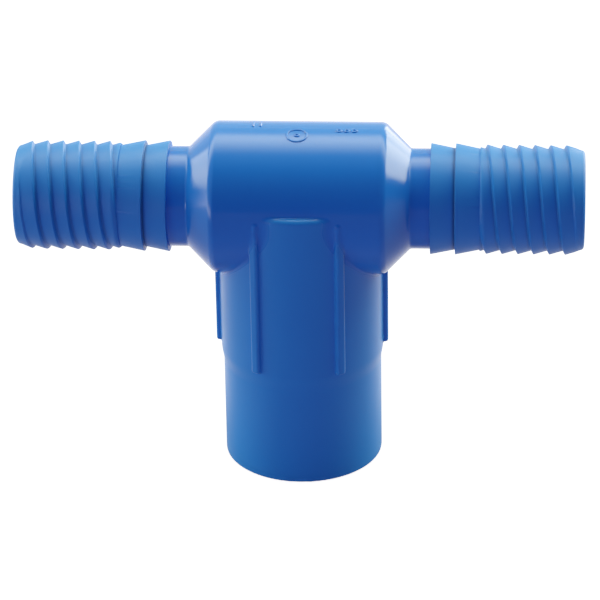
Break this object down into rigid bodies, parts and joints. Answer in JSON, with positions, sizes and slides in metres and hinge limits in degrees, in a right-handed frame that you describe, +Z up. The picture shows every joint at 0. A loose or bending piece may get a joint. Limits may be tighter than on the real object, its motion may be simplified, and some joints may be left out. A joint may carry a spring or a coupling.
{
  "type": "insert tee fitting",
  "caption": "Blue plastic irrigation tee: two barbed insert ends on a straight run, with a ribbed hub and a plain pipe socket for the branch.",
  "frame": {"origin": "centre of the branch's mouth, in the plane the tee stands on", "axes": "+Z up the branch towards the run, +X along the run, +Y away from the viewer"},
  "size_m": [0.1422, 0.0414, 0.0902],
  "materials": {
    "gloss_body": "bright blue moulded plastic, polished mould face",
    "satin_barbs": "the same bright blue plastic from a satin mould face"
  },
  "bodies": {
    "root": {"run_barrel": "gloss_body", "ribbed_hub": "gloss_body", "branch_socket": "gloss_body", "left_neck": "gloss_body", "right_neck": "gloss_body", "left_ring_barbs": "satin_barbs", "right_ring_barbs": "satin_barbs", "left_spiral_barbs": "satin_barbs", "right_spiral_barbs": "satin_barbs"}
  },
  "joints": []
}
